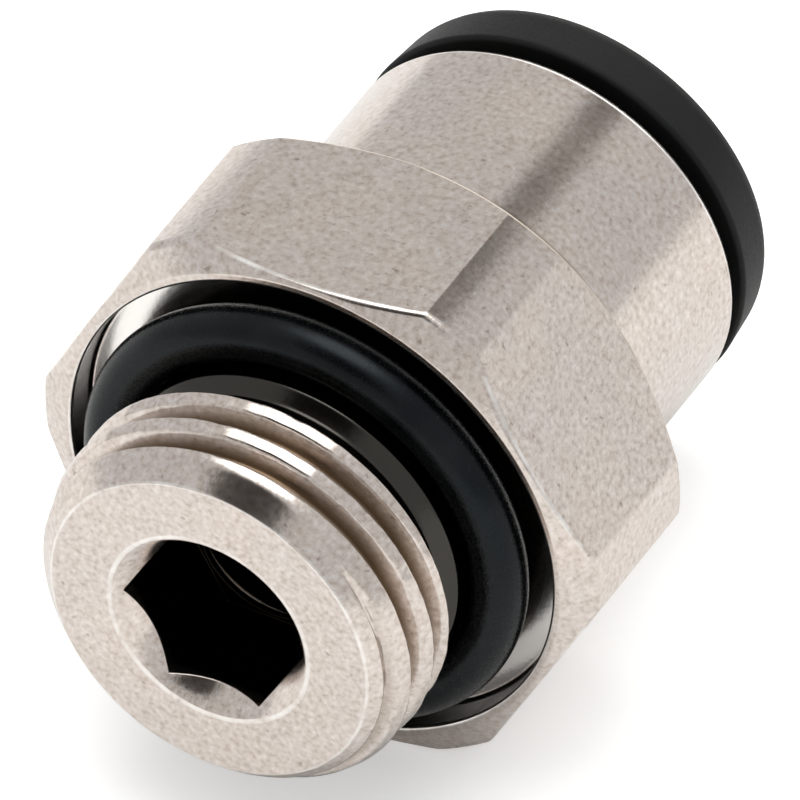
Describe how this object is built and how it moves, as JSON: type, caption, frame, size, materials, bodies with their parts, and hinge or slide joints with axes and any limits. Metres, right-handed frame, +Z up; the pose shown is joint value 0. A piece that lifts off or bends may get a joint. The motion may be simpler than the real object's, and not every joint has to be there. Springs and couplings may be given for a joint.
{
  "type": "push to connect fitting",
  "caption": "Straight push to connect fitting: plated stud with face seal and hexagon, tube port with a sprung grip ring and a release collar.",
  "frame": {"origin": "on the fitting's axis, at the sealing face of the outer hexagon", "axes": "+Y along the axis from the threaded stud to the tube port, +Z up through a flat of the hexagon, +X to the right"},
  "size_m": [0.0196, 0.0239, 0.018],
  "materials": {
    "nickel_plate": "satin nickel plate over brass",
    "face_seal_rubber": "smooth moulded nitrile",
    "tube_seal_rubber": "smooth moulded nitrile",
    "washer_plastic": "natural moulded acetal",
    "sleeve_brass": "turned brass",
    "guide_brass": "turned brass",
    "spring_steel": "stamped stainless spring strip",
    "collar_plastic": "black moulded acetal"
  },
  "bodies": {
    "fitting": {"body": "nickel_plate", "face_seal": "face_seal_rubber", "tube_seal": "tube_seal_rubber", "seal_washer": "washer_plastic", "retaining_sleeve": "sleeve_brass"},
    "cartridge": {"seat_ring": "guide_brass", "grip_base": "spring_steel", "collet_guide": "guide_brass"},
    "collar": {"release_collar": "collar_plastic"},
    "jaw_1": {"grip_jaw_1": "spring_steel"},
    "jaw_2": {"grip_jaw_2": "spring_steel"},
    "jaw_3": {"grip_jaw_3": "spring_steel"},
    "jaw_4": {"grip_jaw_4": "spring_steel"},
    "jaw_5": {"grip_jaw_5": "spring_steel"},
    "jaw_6": {"grip_jaw_6": "spring_steel"},
    "jaw_7": {"grip_jaw_7": "spring_steel"},
    "jaw_8": {"grip_jaw_8": "spring_steel"}
  },
  "joints": [
    {"name": "cartridge_spin", "type": "hinge", "parent": "fitting", "child": "cartridge", "pos_m": [0, 0.0105, 0], "axis": [0, 1, 0], "continuous": true},
    {"name": "collar_press", "type": "slide", "parent": "cartridge", "child": "collar", "axis": [0, -1, 0], "range_m": [0, 0.0006]},
    {"name": "jaw_1_swing", "type": "hinge", "parent": "cartridge", "child": "jaw_1", "pos_m": [0, 0.0105, 0.00505], "axis": [-1, 0, 0], "range_deg": [0, 25]},
    {"name": "jaw_2_swing", "type": "hinge", "parent": "cartridge", "child": "jaw_2", "pos_m": [0.00357, 0.0105, 0.00357], "axis": [-0.7071, 0, 0.7071], "range_deg": [0, 25]},
    {"name": "jaw_3_swing", "type": "hinge", "parent": "cartridge", "child": "jaw_3", "pos_m": [0.00505, 0.0105, 0], "axis": [0, 0, 1], "range_deg": [0, 25]},
    {"name": "jaw_4_swing", "type": "hinge", "parent": "cartridge", "child": "jaw_4", "pos_m": [0.00357, 0.0105, -0.00357], "axis": [0.7071, 0, 0.7071], "range_deg": [0, 25]},
    {"name": "jaw_5_swing", "type": "hinge", "parent": "cartridge", "child": "jaw_5", "pos_m": [0, 0.0105, -0.00505], "axis": [1, 0, 0], "range_deg": [0, 25]},
    {"name": "jaw_6_swing", "type": "hinge", "parent": "cartridge", "child": "jaw_6", "pos_m": [-0.00357, 0.0105, -0.00357], "axis": [0.7071, 0, -0.7071], "range_deg": [0, 25]},
    {"name": "jaw_7_swing", "type": "hinge", "parent": "cartridge", "child": "jaw_7", "pos_m": [-0.00505, 0.0105, 0], "axis": [0, 0, -1], "range_deg": [0, 25]},
    {"name": "jaw_8_swing", "type": "hinge", "parent": "cartridge", "child": "jaw_8", "pos_m": [-0.00357, 0.0105, 0.00357], "axis": [-0.7071, 0, -0.7071], "range_deg": [0, 25]}
  ],
  "couplings": [
    {"joint": "jaw_1_swing", "follows": "collar_press", "rad_per_m": 727.2},
    {"joint": "jaw_2_swing", "follows": "collar_press", "rad_per_m": 727.2},
    {"joint": "jaw_3_swing", "follows": "collar_press", "rad_per_m": 727.2},
    {"joint": "jaw_4_swing", "follows": "collar_press", "rad_per_m": 727.2},
    {"joint": "jaw_5_swing", "follows": "collar_press", "rad_per_m": 727.2},
    {"joint": "jaw_6_swing", "follows": "collar_press", "rad_per_m": 727.2},
    {"joint": "jaw_7_swing", "follows": "collar_press", "rad_per_m": 727.2},
    {"joint": "jaw_8_swing", "follows": "collar_press", "rad_per_m": 727.2}
  ]
}
